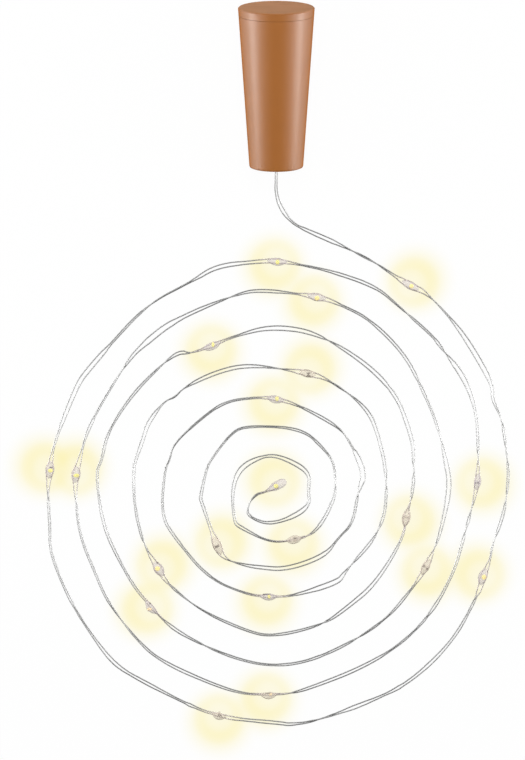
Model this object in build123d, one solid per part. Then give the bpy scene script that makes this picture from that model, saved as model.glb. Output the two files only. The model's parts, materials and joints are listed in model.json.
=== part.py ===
from build123d import *
import os
from math import atan2, ceil, cos, degrees, pi, radians, sin, sqrt, tan

# A cork-shaped bottle light. A tapered plastic stopper lies on its side with its wide end towards +Y. A pair of
# fine wires leaves the middle of its narrow end, bends down and runs into a flat spiral with twenty light drops.
# Lengths are millimetres and angles are degrees.

# The stopper's shell, measured along its own axis from the narrow end
LENGTH = 49.5
NARROW_R = 8.2
WIDE_R = 11.7
WALL = 1.5
END_WALL = 2.0
EDGE_ROUND = 0.6
EDGE_FACETS = 2
MOUTH_CHAMFER = 0.3

# Clearances between pieces
RUNNING = 0.08  # a shaft or plug in the hole that it moves in
LOOSE = 0.15  # a piece that drops into its place
SNUG = 0.05  # a piece that is clipped or bedded in
TOUCH = 0.1  # a sprung contact, drawn just off the face that it presses on
OVERRUN = 1.0  # how far a cutter runs past what it cuts

# The turning head, its shaft and the peg that stops it after a quarter turn
HEAD_T = 2.4
HEAD_CHAMFER = 0.3
SEAM = 0.1
SHAFT_R = 2.0
PEG_R = 0.6
PEG_H = 0.8
PEG_TRACK_R = 6.9
SWITCH_TURN = 90
PEG_ANGLE = -45

# The plug that carries the head and the cells, and the ledge in the shell that they are pushed down to
PLUG_LEDGE = 0.45
DECK_T = 2.2
CHAMBER_DEPTH = 1.0
CHAMBER_R = 5.2
KEY_W = 2.0
KEY_H = 0.4
KEY_ROOT = 0.6
KEY_LENGTH = 0.7

# The seal ring in its groove round the plug
RING_T = 1.0
GROOVE_DEPTH = 0.45
GROOVE_UP = 0.3

# The button cells
CELL_R = 5.8
CELL_H = 5.4
CELL_COUNT = 3
CAP_R = 4.1
CAP_H = 0.35

# The battery carrier, its flange and its screws
CUP_WALL = 0.8
CUP_FLOOR_T = 1.0
FLANGE_T = 1.4
WINDOW_DROP = 1.2
SCREW_HEAD_R = 0.7
SCREW_HEAD_H = 0.6
SCREW_R = 0.4
SCREW_BITE = 1.2

# Sheet-metal contacts of the carrier and the head
METAL_T = 0.3
PLATE_R = 5.0
RIVET_R = 0.8
RIVET_AT = 3.4
DOME_R = 0.5
DOME_H = 0.3
PAD_R = 2.4
PAD_STEM_R = 0.9
STRAP_W = 2.0
STRAP_FOOT = 2.4
WIPER_W = 2.0
WIPER_REACH = 4.3
PIN_HEAD_R = 1.0
PIN_HEAD_H = 0.35
PIN_DEPTH = 1.6

# The conical spring under the cells
SPRING_H = 2.5
SPRING_WIRE = 0.5
SPRING_FOOT_R = 4.3
SPRING_TIP_R = 2.3
SPRING_TURNS = 2

# The contact board on its ledge in the shell, and what stands on it
BOARD_T = 1.0
BOARD_LEDGE = 1.1
LEAF_T = 0.25
LEAF_W = 2.0
LEAF_FOOT = 2.4
LEAF_H = 6.7
LEAF_TOP = 1.8
LEAF_LEAN = 1.6
LEAF_BEND = 0.5
RESISTOR = (2.0, 1.25, 0.5)
RESISTOR_AT = 4.6
SOLDER_R = 0.7
SOLDER_H = 0.9
SOLDER_AT = 1.6
SOLDER_SIDES = 8

# The pair of wires and the seal that they leave through
WIRE = 0.36
PAIR = 0.8
WIRE_Z = 0.5
SEAL_R = 1.6
SEAL_FLANGE_R = 2.8
SEAL_FLANGE_T = 0.8
INNER_BEND = 2.0
INNER_KNEE_SHARES = (0.72, 0.43)

# The lead from the seal to the coil: a straight start, then points chosen by hand from the photograph, as
# distances to the right of the outlet and in front of it, and heights over the floor
LEAD_START = 5.0
LEAD_POINTS = [
    (1.0, 11.5, 6.0),
    (4.6, 17.0, 4.2),
    (11.0, 21.0, 2.5),
    (19.5, 24.6, 1.3),
]
LEAD_END = 12.0
CORNER_SHARE = 0.45

# The coil, a flat spiral that runs clockwise and inwards
COIL_RIGHT = -2.3
COIL_FRONT = 99.5
COIL_OUTER_R = 75.1
COIL_INNER_R = 7.7
COIL_FROM = 56
COIL_LOOPS = 7
CLOSING_POWER = 1.055
QUARTERS = 4
CURL_R = 4.8
CURL_TURN = 160
COIL_END = 3.0

# The light drops: clear resin round a chip that bridges the two wires
LED_COUNT = 20
LED_FIRST = 2.6
DROP_L = 4.8
DROP_W = 2.5
DROP_H = 1.8
END_DROP_L = 6.0
CHIP = (0.8, 1.6, 0.45)
DROP_HALF_SHARES = [(-1, 0), (-0.55, 0.72), (0, 1), (0.55, 0.72), (1, 0)]
END_DROP_HALF_SHARES = [(-1, 0), (-0.5, 0.66), (0.15, 1), (0.75, 0.9), (1, 0.4)]
DROP_LEVEL_SHARES = [(0, 0.6), (0.45, 1), (1, 0.5)]

# Levels along the stopper's axis that follow from these sizes
HEAD_UNDER = LENGTH - HEAD_T
SHELL_TOP = HEAD_UNDER - SEAM
DECK_UNDER = SHELL_TOP - DECK_T
CHAMBER_TOP = DECK_UNDER + CHAMBER_DEPTH
GROOVE_LOW = DECK_UNDER + GROOVE_UP
GROOVE_HIGH = GROOVE_LOW + RING_T + 2 * SNUG
CEILING = DECK_UNDER - FLANGE_T
CELLS_TOP = CEILING - METAL_T
CELLS_BOTTOM = CELLS_TOP - CELL_COUNT * CELL_H
PAD_TOP = CELLS_BOTTOM - SPRING_H
CUP_FLOOR = PAD_TOP - METAL_T
CUP_BOTTOM = CUP_FLOOR - CUP_FLOOR_T
CONTACTS_Z = CUP_BOTTOM - SNUG - METAL_T
BOARD_TOP = CONTACTS_Z - LEAF_H
BOARD_Z = BOARD_TOP - BOARD_T
SHAFT_END = CHAMBER_TOP - TOUCH
WIPER_UNDER = SHAFT_END - METAL_T


def skin_r(height):
    """The stopper's outer radius at a height along its axis."""
    return NARROW_R + (WIDE_R - NARROW_R) * height / LENGTH


def cavity_r(height):
    """The radius of the shell's inside at a height along its axis."""
    return skin_r(height) - WALL


BORE_R = cavity_r(CEILING) + PLUG_LEDGE
PLUG_R = BORE_R - RUNNING
FLANGE_R = PLUG_R - SNUG
CUP_R = CELL_R + LOOSE
CUP_OUTER_R = CUP_R + CUP_WALL
SCREW_AT = (CUP_OUTER_R + FLANGE_R) / 2
BOARD_R = cavity_r(BOARD_Z) - LOOSE
STRAP_AT = CUP_OUTER_R + SNUG + METAL_T / 2


def turned(*outline):
    """A solid of revolution about Z, from the (radius, height) points of half its section."""
    section = Polyline(*[(radius, 0, height) for radius, height in outline], close=True)
    return revolve(make_face(section.edges()), Axis.Z)


def faceted_solid(rings):
    """A closed solid through level rings of points, each of them the same outline enlarged or reduced."""
    loops = [rings[0], rings[-1]]
    for low, high in zip(rings, rings[1:]):
        for n in range(len(low)):
            loops.append([low[n - 1], low[n], high[n], high[n - 1]])
    faces = [make_face(Polyline(*loop, close=True).edges()) for loop in loops]
    return Solid(Shell(faces))


def column(radius, bottom, top, x=0, y=0):
    """An upright cylinder from one height to another."""
    return Pos(x, y, (bottom + top) / 2) * Cylinder(radius, top - bottom)


def block(x, y, z):
    """A box from its (low, high) limits along each axis."""
    size = [high - low for low, high in (x, y, z)]
    centre = [(low + high) / 2 for low, high in (x, y, z)]
    return Pos(*centre) * Box(*size)


def strip(points, bend, width, thickness):
    """Sheet metal of one width and thickness, bent along (x, height) points."""
    path = FilletPolyline(*[(x, 0, height) for x, height in points], radius=bend)
    start = Plane(origin=path @ 0, x_dir=(0, 1, 0), z_dir=path % 0)
    return sweep(start * Rectangle(width, thickness), path=path)


def left_of(heading):
    """The level direction at the left hand of a heading."""
    return Vector(-heading.Y, heading.X, 0).normalized()


def faceted_wire(path, width, across):
    """A square wire along a path, as one unbroken tube."""
    start = Plane(origin=path @ 0, x_dir=across, z_dir=path % 0)
    return sweep(start * Rectangle(width, width), path=path)


def biarc(start, heading, end, last_heading):
    """Two arcs that leave start along heading and reach end along last_heading."""
    gap = end - start
    along = gap.dot(heading + last_heading)
    spread = 2 * (1 - heading.dot(last_heading))
    reach = (sqrt(along * along + spread * gap.dot(gap)) - along) / spread
    knee = (start + end + (heading - last_heading) * reach) * 0.5
    between = (end - last_heading * reach) - (start + heading * reach)
    return [
        TangentArc(start, knee, tangent=heading),
        TangentArc(knee, end, tangent=between.normalized()),
    ]


def make_shell():
    """The tapered shell: hollow from its wide end, with a ledge for the board and one for the carrier's flange."""
    ledge_r = cavity_r(BOARD_Z) - BOARD_LEDGE
    corner_r = skin_r(EDGE_ROUND) - EDGE_ROUND
    rounding = []
    for n in range(EDGE_FACETS + 1):
        angle = pi / 2 * n / EDGE_FACETS
        rounding.append((corner_r + EDGE_ROUND * sin(angle), EDGE_ROUND * (1 - cos(angle))))
    shell = turned(
        (SEAL_R + SNUG, 0),
        *rounding,
        (skin_r(SHELL_TOP), SHELL_TOP),
        (BORE_R + MOUTH_CHAMFER, SHELL_TOP),
        (BORE_R, SHELL_TOP - MOUTH_CHAMFER),
        (BORE_R, CEILING),
        (cavity_r(CEILING), CEILING),
        (cavity_r(BOARD_Z), BOARD_Z),
        (ledge_r, BOARD_Z),
        (ledge_r, END_WALL),
        (SEAL_R + SNUG, END_WALL),
    )
    key_way = block(
        (0, PLUG_R + KEY_H + LOOSE),
        (-KEY_W / 2 - LOOSE, KEY_W / 2 + LOOSE),
        (SHELL_TOP - KEY_LENGTH - LOOSE, SHELL_TOP + OVERRUN),
    )
    return shell - key_way


def make_plug():
    """The plug: a deck with the wiper's chamber, the ring's groove, the key and the peg's track."""
    hole_r = SHAFT_R + RUNNING
    plug = turned(
        (CHAMBER_R, DECK_UNDER),
        (PLUG_R, DECK_UNDER),
        (PLUG_R, GROOVE_LOW),
        (PLUG_R - GROOVE_DEPTH, GROOVE_LOW),
        (PLUG_R - GROOVE_DEPTH, GROOVE_HIGH),
        (PLUG_R, GROOVE_HIGH),
        (PLUG_R, SHELL_TOP),
        (hole_r, SHELL_TOP),
        (hole_r, CHAMBER_TOP),
        (CHAMBER_R, CHAMBER_TOP),
    )
    key = block(
        (PLUG_R - KEY_ROOT, PLUG_R + KEY_H),
        (-KEY_W / 2, KEY_W / 2),
        (SHELL_TOP - KEY_LENGTH, SHELL_TOP),
    )
    track_line = CenterArc((0, 0), PEG_TRACK_R, PEG_ANGLE, SWITCH_TURN)
    track_floor = HEAD_UNDER - PEG_H - LOOSE
    track = extrude(SlotArc(track_line, 2 * (PEG_R + LOOSE)), SHELL_TOP + OVERRUN - track_floor)
    plug = plug + key - Pos(0, 0, track_floor) * track
    for side in (-1, 1):
        plug -= column(SCREW_R, DECK_UNDER - OVERRUN, DECK_UNDER + SCREW_BITE, y=side * SCREW_AT)
    return plug


def make_seal_ring():
    """The rubber ring, three-sided in section, whose lip meets the bore."""
    inner = PLUG_R - GROOVE_DEPTH + SNUG
    lip = BORE_R - RUNNING / 4
    middle = (GROOVE_LOW + GROOVE_HIGH) / 2
    return turned((inner, GROOVE_LOW + SNUG), (lip, middle), (inner, GROOVE_HIGH - SNUG))


def make_carrier():
    """The battery cup under its flange, open on the upper side so that the cells go in from there."""
    carrier = turned(
        (0, CUP_BOTTOM),
        (CUP_OUTER_R, CUP_BOTTOM),
        (CUP_OUTER_R, CEILING),
        (FLANGE_R, CEILING),
        (FLANGE_R, DECK_UNDER),
        (0, DECK_UNDER),
        (0, CEILING),
        (CUP_R, CEILING),
        (CUP_R, CUP_FLOOR),
        (0, CUP_FLOOR),
    )
    window = block(
        (-CUP_OUTER_R - OVERRUN, CUP_OUTER_R + OVERRUN),
        (-CUP_OUTER_R - OVERRUN, -WINDOW_DROP),
        (CUP_FLOOR, CEILING),
    )
    strap_side = STRAP_W / 2 + SNUG
    strap_groove = block(
        (-STRAP_AT - METAL_T / 2 - SNUG, -RIVET_AT + DOME_R + SNUG),
        (-strap_side, strap_side),
        (DECK_UNDER - METAL_T - SNUG, DECK_UNDER + OVERRUN),
    )
    strap_slot = block(
        (-STRAP_AT - METAL_T / 2 - SNUG, -STRAP_AT + METAL_T / 2 + SNUG),
        (-strap_side, strap_side),
        (CEILING - OVERRUN, DECK_UNDER),
    )
    carrier -= window
    carrier -= strap_groove
    carrier -= strap_slot
    carrier -= column(RIVET_R + SNUG, CEILING - OVERRUN, DECK_UNDER + OVERRUN, x=RIVET_AT)
    carrier -= column(PAD_STEM_R + SNUG, CUP_BOTTOM - OVERRUN, CUP_FLOOR + OVERRUN)
    for side in (-1, 1):
        carrier -= column(SCREW_R + SNUG, CEILING - OVERRUN, DECK_UNDER + OVERRUN, y=side * SCREW_AT)
        carrier -= column(SCREW_HEAD_R + SNUG, CEILING - OVERRUN, CEILING + SCREW_HEAD_H, y=side * SCREW_AT)
    return carrier


def make_carrier_screws():
    """The two screws that hold the flange up against the plug's deck, their heads sunk in the flange."""
    screws = []
    for side in (-1, 1):
        head = column(SCREW_HEAD_R, CEILING, CEILING + SCREW_HEAD_H, y=side * SCREW_AT)
        shank = column(SCREW_R, CEILING + SCREW_HEAD_H / 2, DECK_UNDER + SCREW_BITE, y=side * SCREW_AT)
        screws.append(head + shank)
    return screws


def make_positive_plate():
    """The disc over the cells, riveted up through the flange to a contact in the wiper's chamber."""
    plate = column(PLATE_R, CELLS_TOP, CEILING)
    return plate + column(RIVET_R, CELLS_TOP, DECK_UNDER + DOME_H, x=RIVET_AT)


def make_positive_strap():
    """The strap from its contact in the chamber, over the flange and down the cup to a foot under it."""
    top = DECK_UNDER - METAL_T / 2
    foot = CUP_BOTTOM - SNUG - METAL_T / 2
    strap = strip(
        [(-RIVET_AT + DOME_R, top), (-STRAP_AT, top), (-STRAP_AT, foot), (STRAP_FOOT - STRAP_AT, foot)],
        METAL_T / 2 + SNUG,
        STRAP_W,
        METAL_T,
    )
    return strap + column(DOME_R, top, DECK_UNDER + DOME_H, x=-RIVET_AT)


def make_negative_pad():
    """The rivet through the cup's floor: the spring stands on its disc, and its head meets the leaf."""
    pad = column(SPRING_FOOT_R + SPRING_WIRE, CUP_FLOOR, PAD_TOP)
    pad += column(PAD_STEM_R, CONTACTS_Z, PAD_TOP)
    return pad + column(PAD_R, CONTACTS_Z, CUP_BOTTOM - SNUG)


def make_negative_spring():
    """The conical spring as one tube, from its wide foot on the pad to its tip under the lowest cell."""
    steps = ceil(SPRING_TURNS * QUARTERS)
    rise = SPRING_H - SPRING_WIRE
    points = []
    for n in range(steps + 1):
        share = n / steps
        angle = 2 * pi * SPRING_TURNS * share
        radius = SPRING_FOOT_R + (SPRING_TIP_R - SPRING_FOOT_R) * share
        outward = Vector(cos(angle), sin(angle), 0)
        round_it = Vector(-sin(angle), cos(angle), 0)
        steepness = Vector(0, 0, rise) + outward * (SPRING_TIP_R - SPRING_FOOT_R)
        heading = round_it * (2 * pi * SPRING_TURNS * radius) + steepness
        height = PAD_TOP + SPRING_WIRE / 2 + rise * share
        points.append((outward * radius + Vector(0, 0, height), heading.normalized()))
    edges = []
    for (start, heading), (end, last_heading) in zip(points, points[1:]):
        edges += biarc(start, heading, end, last_heading)
    path = Wire(edges)
    spring = faceted_wire(path, SPRING_WIRE, Vector(1, 0, 0))
    # the two faces that press are ground level with the pad and the cell
    return spring & column(SPRING_FOOT_R + 2 * SPRING_WIRE, PAD_TOP, CELLS_BOTTOM)


def make_cells():
    """The stacked button cells, each a can with its smaller cap at the lower side."""
    cells = []
    for n in range(CELL_COUNT):
        low = CELLS_BOTTOM + n * CELL_H
        cells.append(column(CELL_R, low + CAP_H, low + CELL_H) + column(CAP_R, low, low + CELL_H / 2))
    return cells


def make_head():
    """The turning head, which carries on the shell's taper, with its shaft and its stop peg."""
    head = turned(
        (0, SHAFT_END),
        (SHAFT_R, SHAFT_END),
        (SHAFT_R, HEAD_UNDER),
        (skin_r(HEAD_UNDER), HEAD_UNDER),
        (skin_r(LENGTH - HEAD_CHAMFER), LENGTH - HEAD_CHAMFER),
        (skin_r(LENGTH - HEAD_CHAMFER) - HEAD_CHAMFER, LENGTH),
        (0, LENGTH),
    )
    peg_x = PEG_TRACK_R * cos(radians(PEG_ANGLE))
    peg_y = PEG_TRACK_R * sin(radians(PEG_ANGLE))
    head += column(PEG_R, HEAD_UNDER - PEG_H, HEAD_UNDER + PEG_R, peg_x, peg_y)
    return head - column(SCREW_R, SHAFT_END - OVERRUN, SHAFT_END + PIN_DEPTH)


def make_wiper():
    """The wiper bar under the shaft, with a contact dome near each end."""
    bar = block((-WIPER_REACH, WIPER_REACH), (-WIPER_W / 2, WIPER_W / 2), (WIPER_UNDER, SHAFT_END))
    for side in (-1, 1):
        bar += column(DOME_R, DECK_UNDER + DOME_H + TOUCH, SHAFT_END, x=side * RIVET_AT)
    return bar - column(SCREW_R + SNUG, WIPER_UNDER - OVERRUN, SHAFT_END + OVERRUN)


def make_head_pin():
    """The small screw that holds the wiper to the shaft and keeps the head in the plug."""
    pin = column(PIN_HEAD_R, WIPER_UNDER - PIN_HEAD_H, WIPER_UNDER)
    return pin + column(SCREW_R, WIPER_UNDER - PIN_HEAD_H / 2, SHAFT_END + PIN_DEPTH)


def make_board():
    """The round contact board, with a locating notch at its edge."""
    return column(BOARD_R, BOARD_Z, BOARD_TOP) - column(SOLDER_R, BOARD_Z - OVERRUN, BOARD_TOP + OVERRUN, y=BOARD_R)


def make_leaf(foot_x, top_x, contact_z):
    """A leaf contact: a soldered foot, a leaning riser and a level top that ends at top_x."""
    side = 1 if foot_x > top_x else -1
    low = BOARD_TOP + LEAF_T / 2
    high = contact_z - TOUCH - LEAF_T / 2
    points = [
        (foot_x, low),
        (foot_x - side * LEAF_FOOT, low),
        (foot_x - side * (LEAF_FOOT + LEAF_LEAN), high),
        (foot_x - side * (LEAF_FOOT + LEAF_LEAN + LEAF_TOP), high),
    ]
    shift = top_x - points[-1][0]
    return strip([(x + shift, height) for x, height in points], LEAF_BEND, LEAF_W, LEAF_T)


def make_inner_wires():
    """The two wires from their solder joints, drawn together and out through the seal."""
    top = BOARD_Z - SOLDER_H
    high_knee, low_knee = [top * share for share in INNER_KNEE_SHARES]
    wires = []
    for side in (-1, 1):
        path = FilletPolyline(
            (side * SOLDER_AT, 0, top),
            (side * SOLDER_AT, 0, high_knee),
            (side * PAIR / 2, 0, low_knee),
            (side * PAIR / 2, 0, 0),
            radius=INNER_BEND,
        )
        wires.append(faceted_wire(path, WIRE, Vector(1, 0, 0)))
    return wires


def make_solder_joints():
    """A blob of solder over the end of each inner wire, under the board, with flat sides."""
    rings = []
    for radius, height in ((SOLDER_R, BOARD_Z), (SOLDER_R / 2, BOARD_Z - SOLDER_H)):
        angles = [2 * pi * n / SOLDER_SIDES for n in range(SOLDER_SIDES)]
        rings.append([(radius * cos(angle), radius * sin(angle), height) for angle in angles])
    blob = faceted_solid(rings)
    return [Pos(side * SOLDER_AT, 0, 0) * blob for side in (-1, 1)]


def make_wire_seal(wires):
    """The stepped bush in the end wall, bedded round both wires."""
    seal = column(SEAL_R, 0, END_WALL) + column(SEAL_FLANGE_R, END_WALL, END_WALL + SEAL_FLANGE_T)
    for wire in wires:
        seal -= wire
    return seal


def coil_place(turn):
    """Where the coil's middle line is after a number of turns, and which way it heads."""
    angle = radians(COIL_FROM) - 2 * pi * turn
    left = 1 - turn / COIL_TURNS
    closing = COIL_OUTER_R - COIL_INNER_R
    radius = COIL_INNER_R + closing * left**CLOSING_POWER
    slope = -closing * CLOSING_POWER * left ** (CLOSING_POWER - 1) / COIL_TURNS
    outward = Vector(cos(angle), sin(angle), 0)
    round_it = Vector(sin(angle), -cos(angle), 0)
    heading = (outward * slope + round_it * (2 * pi * radius)).normalized()
    return COIL_CENTRE + outward * radius, heading


def coil_path(shift):
    """The line of a wire that lies beside the coil's middle line: the turns, the last curl and a short end."""
    steps = ceil(COIL_TURNS * QUARTERS)
    places = [coil_place(COIL_TURNS * n / steps) for n in range(steps + 1)]
    edges = []
    for (start, heading), (end, last_heading) in zip(places, places[1:]):
        edges += biarc(start + left_of(heading) * shift, heading, end + left_of(last_heading) * shift, last_heading)
    start, heading = places[-1]
    last_heading = heading.rotate(Axis.Z, -CURL_TURN)
    middle = start - left_of(heading) * CURL_R
    curl_start = start + left_of(heading) * shift
    curl_end = middle + left_of(last_heading) * (CURL_R + shift)
    edges.append(TangentArc(curl_start, curl_end, tangent=heading))
    edges.append(Line(curl_end, curl_end + last_heading * COIL_END))
    return Wire(edges)


def beside(route, shift):
    """The route's points moved to its left in plan, so that every run stays parallel to the first route's."""
    across = [left_of(b - a) for a, b in zip(route, route[1:])]
    moved = []
    for n, point in enumerate(route):
        before = across[max(n - 1, 0)]
        after = across[min(n, len(across) - 1)]
        moved.append(point + (before + after) * (shift / (1 + before.dot(after))))
    return moved


def lead_path(route, name):
    """Straight runs joined by tangent arcs, each as large as its two runs allow."""
    radii = []
    for a, b, c in zip(route, route[1:], route[2:]):
        half_turn = radians((b - a).get_angle(c - b)) / 2
        radii.append(CORNER_SHARE * min((b - a).length, (c - b).length) / tan(half_turn))
    print(name, "arc radii", [round(radius, 1) for radius in radii])
    return FilletPolyline(*route, radius=radii)


def drop_solid(length, half_shares):
    """A resin drop with a flat underside, which swells up to its belly and draws in again."""
    outline = list(half_shares) + [(x, -y) for x, y in reversed(half_shares) if y > 0]
    rings = []
    for height_share, plan_share in DROP_LEVEL_SHARES:
        across = [(x * length / 2 * plan_share, y * DROP_W / 2 * plan_share) for x, y in outline]
        rings.append([(x, y, height_share * DROP_H) for x, y in across])
    return faceted_solid(rings)


def wire_channels(bow, last):
    """Straight channels through a drop, as much wider than the wires as these bow away to the right in it."""
    level = (WIRE_Z - WIRE / 2 - SNUG, WIRE_Z + WIRE / 2 + SNUG)
    end = SNUG if last else DROP_L
    channels = []
    for side in (-1, 1):
        middle = side * PAIR / 2
        channels.append(block((-DROP_L, end), (middle - WIRE / 2 - SNUG - bow, middle + WIRE / 2 + SNUG), level))
    return channels


def report_tube(name, path, solid, width):
    """Prints a wire's length and how its volume compares with its section times its length."""
    print(name, "length", round(path.length, 1), "volume share", round(solid.volume / (width * width * path.length), 4))


def least_gap(path, width):
    """The least free gap between a wire and its own other turns, measured on points along it."""
    count = 900
    points = [path @ (n / count) for n in range(count + 1)]
    apart = ceil(count * pi * CURL_R / path.length) + 1
    least = min(
        (points[a] - points[b]).length for a in range(count + 1) for b in range(a + apart, count + 1)
    )
    return least - width


# The stopper's pieces, along its own axis
inner_wires = make_inner_wires()
stopper = {
    "cork_shell": [make_shell()],
    "wire_seal": [make_wire_seal(inner_wires)],
    "contact_board": [make_board()],
    "negative_leaf": [make_leaf(LEAF_FOOT, -LEAF_TOP / 2, CONTACTS_Z)],
    "positive_leaf": [make_leaf(0, LEAF_TOP / 2 + STRAP_FOOT / 2 - STRAP_AT - LEAF_TOP, CONTACTS_Z)],
    "resistor": [Pos(0, -RESISTOR_AT, BOARD_TOP + RESISTOR[2] / 2) * Box(*RESISTOR)],
    "solder_joints": make_solder_joints(),
    "inner_wires": inner_wires,
    "plug": [make_plug()],
    "seal_ring": [make_seal_ring()],
    "battery_carrier": [make_carrier()],
    "carrier_screws": make_carrier_screws(),
    "positive_plate": [make_positive_plate()],
    "positive_strap": [make_positive_strap()],
    "negative_pad": [make_negative_pad()],
    "negative_spring": [make_negative_spring()],
    "switch_head": [make_head()],
    "wiper": [make_wiper()],
    "head_pin": [make_head_pin()],
}
for number, cell in enumerate(make_cells(), start=1):
    stopper[f"button_cell_{number}"] = [cell]

# The stopper lies on its taper: its axis rises to the wide end, and the middle of its footprint is the origin
TILT = atan2(WIDE_R - NARROW_R, LENGTH)
lie_down = Pos(0, 0, NARROW_R * cos(TILT)) * Rot(degrees(TILT) - 90, 0, 0)
lying = Compound([lie_down * stopper[name][0] for name in ("cork_shell", "switch_head")])
footprint = lying.bounding_box()
stand = Pos(0, -footprint.center().Y, -footprint.min.Z) * lie_down
nodes = {name: [stand * solid for solid in solids] for name, solids in stopper.items()}

# The pair of wires
outlet = (stand * Location((0, 0, 0))).position
outward = (stand * Location((0, 0, -1))).position - outlet
COIL_CENTRE = Vector(outlet.X + COIL_RIGHT, outlet.Y - COIL_FRONT, WIRE_Z)
COIL_TURNS = COIL_LOOPS + (COIL_FROM + 90) / 360
coil_start, coil_heading = coil_place(0)
route = [outlet, outlet + outward * LEAD_START]
route += [Vector(outlet.X + right, outlet.Y - front, height) for right, front, height in LEAD_POINTS]
route += [coil_start - coil_heading * LEAD_END, coil_start]
for name, side in (("positive", 1), ("negative", -1)):
    shift = side * PAIR / 2
    path = lead_path(beside(route, shift), f"{name}_lead")
    nodes[f"{name}_lead"] = [faceted_wire(path, WIRE, Vector(1, 0, 0))]
    report_tube(f"{name}_lead", path, nodes[f"{name}_lead"][0], WIRE)
    path = coil_path(shift)
    nodes[f"{name}_coil"] = [faceted_wire(path, WIRE, left_of(coil_heading))]
    report_tube(f"{name}_coil", path, nodes[f"{name}_coil"][0], WIRE)
    print(f"{name}_coil", "least gap to itself", round(least_gap(path, WIRE), 2))

# The light drops, evenly spaced along the coil, the last of them round the wires' ends
track = coil_path(0)
led_pitch = (track.length - LED_FIRST) / (LED_COUNT - 1)
print("light spacing", round(led_pitch, 2), "cord length", round(Wire(lead_path(route, "lead")).length + track.length, 1))
chips = []
for number in range(1, LED_COUNT + 1):
    share = (LED_FIRST + led_pitch * (number - 1)) / track.length
    heading = track % share
    place = Pos((track @ share).X, (track @ share).Y, 0) * Rot(0, 0, degrees(atan2(heading.Y, heading.X)))
    chip_low = WIRE_Z + WIRE / 2
    chip = place * Pos(0, 0, chip_low + CHIP[2] / 2) * Box(*CHIP)
    last = number == LED_COUNT
    drop = drop_solid(END_DROP_L, END_DROP_HALF_SHARES) if last else drop_solid(DROP_L, DROP_HALF_SHARES)
    bow = 0 if last else (DROP_L / 2) ** 2 / (2 * (track @ share - COIL_CENTRE).length)
    nodes[f"led_drop_{number:02d}"] = [place * (drop - wire_channels(bow, last)) - chip]
    chips.append(chip)
nodes["led_chips"] = chips

os.makedirs("parts", exist_ok=True)
for name, solids in nodes.items():
    export_step(solids[0] if len(solids) == 1 else Compound(solids), f"parts/{name}.step")
print(len(nodes), "nodes")
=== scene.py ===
import json
from bisect import bisect_right
from math import atan2, cos, pi, radians, sin

import bmesh
import bpy
from mathutils import Matrix, Vector


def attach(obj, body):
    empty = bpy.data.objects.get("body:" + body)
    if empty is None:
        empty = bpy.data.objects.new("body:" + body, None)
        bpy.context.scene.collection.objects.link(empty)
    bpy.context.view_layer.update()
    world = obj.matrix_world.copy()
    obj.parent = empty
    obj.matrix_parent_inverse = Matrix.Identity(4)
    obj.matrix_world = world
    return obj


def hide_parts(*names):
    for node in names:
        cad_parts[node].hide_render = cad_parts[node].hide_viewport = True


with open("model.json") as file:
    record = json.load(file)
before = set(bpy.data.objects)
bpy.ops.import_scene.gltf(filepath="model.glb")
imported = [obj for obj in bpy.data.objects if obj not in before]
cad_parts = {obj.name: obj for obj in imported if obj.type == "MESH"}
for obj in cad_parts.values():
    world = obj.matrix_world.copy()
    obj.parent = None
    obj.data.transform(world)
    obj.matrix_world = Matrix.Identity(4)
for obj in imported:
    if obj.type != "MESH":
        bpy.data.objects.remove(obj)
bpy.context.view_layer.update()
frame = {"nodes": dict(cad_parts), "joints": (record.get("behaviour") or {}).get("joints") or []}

# The cork bottle light, dressed for one photograph. Places are metres unless a name ends in PX, for the
# photograph's pixels, which one scale turns into places on the surface. Colours are linear, and noise scales
# are cells per metre.
MM = 0.001
WHITE = (1, 1, 1, 1)

# The photograph: its scale, its size and the pixel that shows the outlet. Then the camera, which leans off
# the vertical
PIXEL = 0.305 * MM
PHOTO_PX = (525, 760)
OUTLET_PX = (276.3, 167.2)
CAMERA_LEAN = radians(7.8)
CAMERA_CLIP = 3  # how far it sees, in times its own distance
LENS_MM = 600
SENSOR_MM = 36

# The stopper, along its own axis
STOPPER_LENGTH = 49.5 * MM

# The pair of wires
WIRE_R = 0.2 * MM
WIRE_SIDES = 8
WIRE_LEVEL = 0.5 * MM
GLOW_RUN = 9 * MM  # how far along the wires the painted glow of a light reaches
STEP = 0.8 * MM

# The lead from the outlet: how far it runs straight, then places read from the photograph, with heights over
# the surface in millimetres
LEAD_STRAIGHT = 4 * MM
LEAD_PX = [
    (276.2, 190, 7.0), (280, 205, 5.6), (292, 222, 4.1), (311, 232, 3.0),
    (338, 244, 1.9), (372, 261, 1.0), (392, 274, 0.6),
]

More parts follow.
